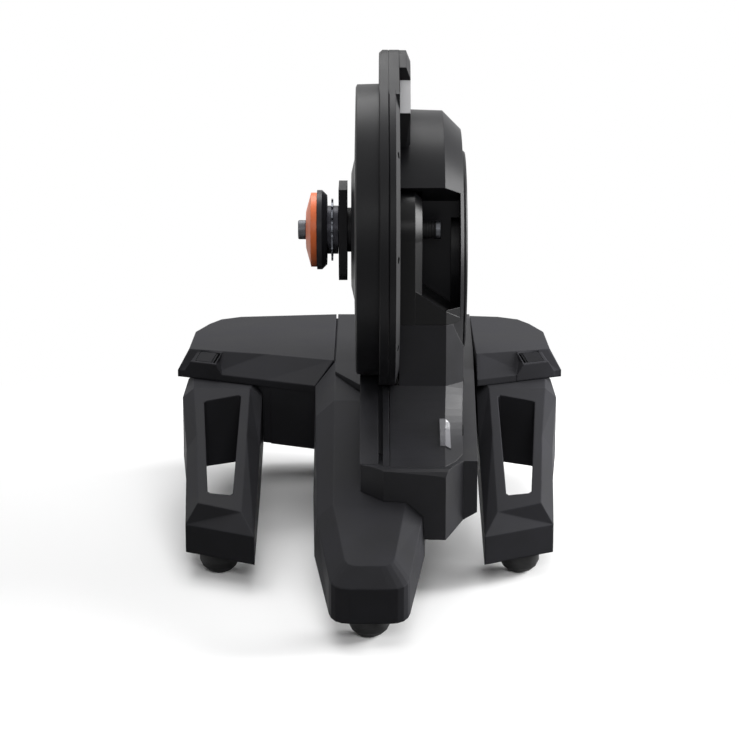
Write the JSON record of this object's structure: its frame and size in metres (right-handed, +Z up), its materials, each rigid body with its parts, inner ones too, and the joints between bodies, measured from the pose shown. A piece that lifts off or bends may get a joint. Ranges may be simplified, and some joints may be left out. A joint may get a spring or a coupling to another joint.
{
  "type": "direct drive bike trainer",
  "caption": "Direct drive bike trainer with a cog on a thru-axle hub, belt-driven flywheel in a round housing, centre leg and swing-out side legs with latch buttons.",
  "frame": {"origin": "centre of the footprint, on the floor", "axes": "+Z up, -Y towards the front leg where the bike stands, -X the drive side with the cog, so the hub axle runs along X"},
  "size_m": [0.417, 0.621, 0.52],
  "materials": {
    "cast_dark": "satin",
    "core_black": "matte",
    "shell_black": "matte",
    "cover_black": "satin",
    "light_grey": "gloss",
    "panel_grey": "satin",
    "socket_black": "matte",
    "bare_steel": "satin",
    "end_cap_metal": "satin",
    "black_screw": "satin",
    "rubber": "matte",
    "board_green": "satin",
    "coil_copper": "satin",
    "pulley_black": "satin",
    "cog_steel": "satin",
    "orange_plastic": "satin",
    "flywheel_iron": "satin"
  },
  "bodies": {
    "frame": {"front_leg": "cast_dark", "base_body": "cast_dark", "top_plate": "cast_dark", "left_arm": "cast_dark", "right_arm": "cast_dark", "tower_base": "shell_black", "tower_shell": "shell_black", "mast_shell": "shell_black", "core_casting": "core_black", "backplate": "shell_black", "ring_cover": "shell_black", "carry_grip": "cover_black", "grip_panel": "panel_grey", "pulley_cover": "cover_black", "flywheel_housing": "shell_black", "flywheel_cover": "shell_black", "status_light": "light_grey", "power_socket": "socket_black", "axle": "bare_steel", "left_end_cap": "end_cap_metal", "right_spacer": "socket_black", "right_end_cap": "end_cap_metal", "inner_guard": "shell_black", "front_foot": "rubber", "rear_foot": "rubber", "foot_screws": "bare_steel", "ring_screws": "black_screw", "control_board": "board_green", "brake_ring": "coil_copper", "tensioner_bracket": "bare_steel", "hub_bearings": "bare_steel", "flywheel_bearings": "bare_steel", "drive_belt": "rubber", "left_pivot_pin": "bare_steel", "right_pivot_pin": "bare_steel"},
    "drive": {"hub_shell": "bare_steel", "drive_pulley": "pulley_black"},
    "cog_set": {"freehub_body": "pulley_black", "sprocket": "cog_steel", "guard_disc": "cover_black", "cap_disc": "orange_plastic"},
    "flywheel": {"flywheel": "flywheel_iron", "flywheel_shaft": "bare_steel", "flywheel_pulley": "end_cap_metal"},
    "idler": {"idler_pulley": "end_cap_metal"},
    "left_leg": {"left_leg": "cast_dark", "left_foot": "rubber", "side_foot_screws_left": "bare_steel"},
    "right_leg": {"right_leg": "cast_dark", "right_foot": "rubber", "side_foot_screws_right": "bare_steel"},
    "left_button": {"left_latch": "cover_black"},
    "right_button": {"right_latch": "cover_black"},
    "left_bolt": {"left_latch_bolt": "bare_steel"},
    "right_bolt": {"right_latch_bolt": "bare_steel"}
  },
  "joints": [
    {"name": "flywheel_spin", "type": "hinge", "parent": "frame", "child": "flywheel", "pos_m": [0.05, 0.0575, 0.302], "axis": [1, 0, 0], "continuous": true},
    {"name": "drive_spin", "type": "hinge", "parent": "frame", "child": "drive", "pos_m": [0, -0.0505, 0.345], "axis": [1, 0, 0], "continuous": true},
    {"name": "cog_freewheel", "type": "hinge", "parent": "drive", "child": "cog_set", "pos_m": [-0.04, -0.0505, 0.345], "axis": [1, 0, 0], "continuous": true},
    {"name": "idler_spin", "type": "hinge", "parent": "frame", "child": "idler", "pos_m": [0, 0.03157, 0.26551], "axis": [1, 0, 0], "continuous": true},
    {"name": "left_leg_swing", "type": "hinge", "parent": "frame", "child": "left_leg", "pos_m": [-0.15, 0.2045, 0.115], "axis": [0, 0, -1], "range_deg": [0, 60]},
    {"name": "right_leg_swing", "type": "hinge", "parent": "frame", "child": "right_leg", "pos_m": [0.15, 0.2045, 0.115], "axis": [0, 0, 1], "range_deg": [0, 60]},
    {"name": "left_button_press", "type": "slide", "parent": "frame", "child": "left_button", "axis": [0.1925, 0.4241, -0.8849], "range_m": [0, 0.0045], "stiffness_N_per_m": 800},
    {"name": "right_button_press", "type": "slide", "parent": "frame", "child": "right_button", "axis": [-0.1925, 0.4241, -0.8849], "range_m": [0, 0.0045], "stiffness_N_per_m": 800},
    {"name": "left_bolt_drop", "type": "slide", "parent": "frame", "child": "left_bolt", "axis": [0, 0, -1], "range_m": [0, 0.009], "stiffness_N_per_m": 200},
    {"name": "right_bolt_drop", "type": "slide", "parent": "frame", "child": "right_bolt", "axis": [0, 0, -1], "range_m": [0, 0.009], "stiffness_N_per_m": 200}
  ],
  "couplings": [
    {"joint": "drive_spin", "follows": "flywheel_spin", "ratio": 0.17226},
    {"joint": "idler_spin", "follows": "flywheel_spin", "ratio": -1.3509},
    {"joint": "left_bolt_drop", "follows": "left_button_press", "ratio": 2},
    {"joint": "right_bolt_drop", "follows": "right_button_press", "ratio": 2}
  ]
}
